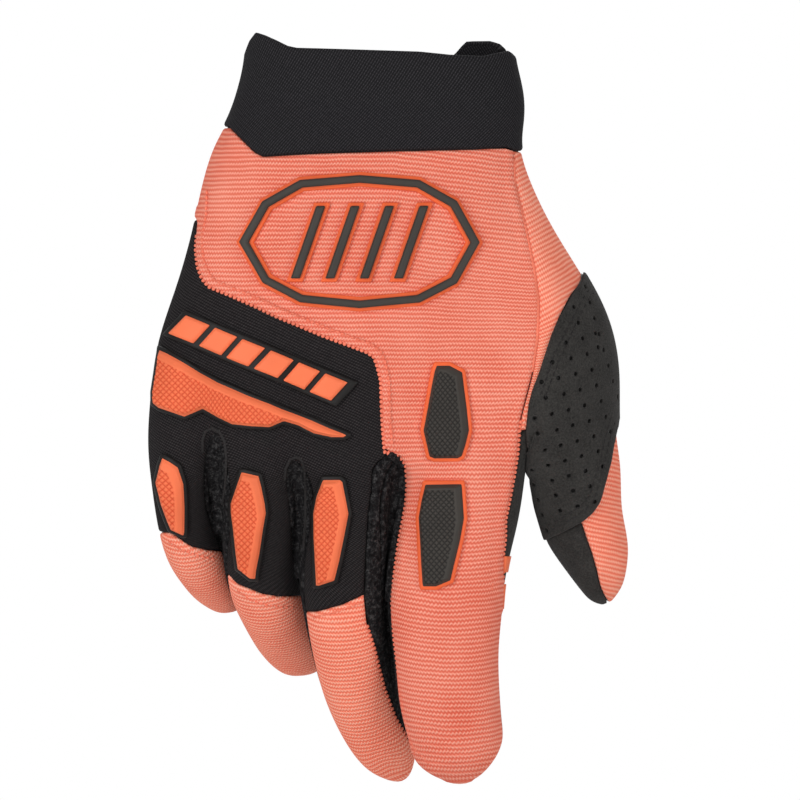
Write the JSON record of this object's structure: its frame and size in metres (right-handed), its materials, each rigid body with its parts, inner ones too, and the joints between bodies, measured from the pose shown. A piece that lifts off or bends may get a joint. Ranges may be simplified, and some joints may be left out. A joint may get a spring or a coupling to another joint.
{
  "type": "motocross glove",
  "caption": "Right-hand riding glove with ribbed stretch back, moulded rubber knuckle and finger guards, suede palm and perforated thumb patch",
  "frame": {"origin": "middle of the wrist opening, at the height of the cuff's upper rim, where the hand goes in", "axes": "+Z from the fingertips to the wrist, +X to the thumb's side, +Y to the palm, so that the back of the hand faces -Y"},
  "size_m": [0.1398, 0.0795, 0.2174],
  "materials": {
    "cuff": "fine twill-faced neoprene",
    "cuff_tab": "matt webbing",
    "back_panel": "ribbed stretch knit",
    "knuckle_panel": "fine stretch knit",
    "thumb_panel": "ribbed stretch knit",
    "palm": "synthetic suede",
    "little_tip": "ribbed stretch knit",
    "ring_tip": "ribbed stretch knit",
    "middle_tip": "ribbed stretch knit",
    "little_ring_fourchette": "soft mesh",
    "ring_middle_fourchette": "soft mesh",
    "middle_index_fourchette": "soft mesh",
    "thumb_patch": "perforated synthetic suede",
    "little_guard": "diamond-knurled moulded rubber",
    "little_guard_rim": "smooth moulded rubber",
    "ring_guard": "diamond-knurled moulded rubber",
    "ring_guard_rim": "smooth moulded rubber",
    "middle_guard": "diamond-knurled moulded rubber",
    "middle_guard_rim": "smooth moulded rubber",
    "knuckle_guard": "diamond-knurled moulded rubber",
    "knuckle_guard_rim": "smooth moulded rubber",
    "index_guard_upper": "diamond-knurled moulded rubber",
    "index_guard_upper_rim": "smooth moulded rubber",
    "index_guard_lower": "diamond-knurled moulded rubber",
    "index_guard_lower_rim": "smooth moulded rubber",
    "badge": "smooth moulded rubber",
    "badge_rim": "smooth moulded rubber",
    "badge_bar_1": "smooth moulded rubber",
    "badge_bar_1_rim": "smooth moulded rubber",
    "badge_bar_2": "smooth moulded rubber",
    "badge_bar_2_rim": "smooth moulded rubber",
    "badge_bar_3": "smooth moulded rubber",
    "badge_bar_3_rim": "smooth moulded rubber",
    "badge_bar_4": "smooth moulded rubber",
    "badge_bar_4_rim": "smooth moulded rubber",
    "strip_base": "smooth moulded rubber",
    "strip_block_1": "smooth moulded rubber",
    "strip_block_2": "smooth moulded rubber",
    "strip_block_3": "smooth moulded rubber",
    "strip_block_4": "smooth moulded rubber",
    "strip_block_5": "smooth moulded rubber",
    "strip_block_6": "smooth moulded rubber"
  },
  "bodies": {
    "root": {"cuff": "cuff", "cuff_tab": "cuff_tab", "back_panel": "back_panel", "knuckle_panel": "knuckle_panel", "thumb_panel": "thumb_panel", "palm": "palm", "little_tip": "little_tip", "ring_tip": "ring_tip", "middle_tip": "middle_tip", "little_ring_fourchette": "little_ring_fourchette", "ring_middle_fourchette": "ring_middle_fourchette", "middle_index_fourchette": "middle_index_fourchette", "thumb_patch": "thumb_patch", "little_guard": "little_guard", "little_guard_rim": "little_guard_rim", "ring_guard": "ring_guard", "ring_guard_rim": "ring_guard_rim", "middle_guard": "middle_guard", "middle_guard_rim": "middle_guard_rim", "knuckle_guard": "knuckle_guard", "knuckle_guard_rim": "knuckle_guard_rim", "index_guard_upper": "index_guard_upper", "index_guard_upper_rim": "index_guard_upper_rim", "index_guard_lower": "index_guard_lower", "index_guard_lower_rim": "index_guard_lower_rim", "badge": "badge", "badge_rim": "badge_rim", "badge_bar_1": "badge_bar_1", "badge_bar_1_rim": "badge_bar_1_rim", "badge_bar_2": "badge_bar_2", "badge_bar_2_rim": "badge_bar_2_rim", "badge_bar_3": "badge_bar_3", "badge_bar_3_rim": "badge_bar_3_rim", "badge_bar_4": "badge_bar_4", "badge_bar_4_rim": "badge_bar_4_rim", "strip_base": "strip_base", "strip_block_1": "strip_block_1", "strip_block_2": "strip_block_2", "strip_block_3": "strip_block_3", "strip_block_4": "strip_block_4", "strip_block_5": "strip_block_5", "strip_block_6": "strip_block_6"}
  },
  "joints": []
}
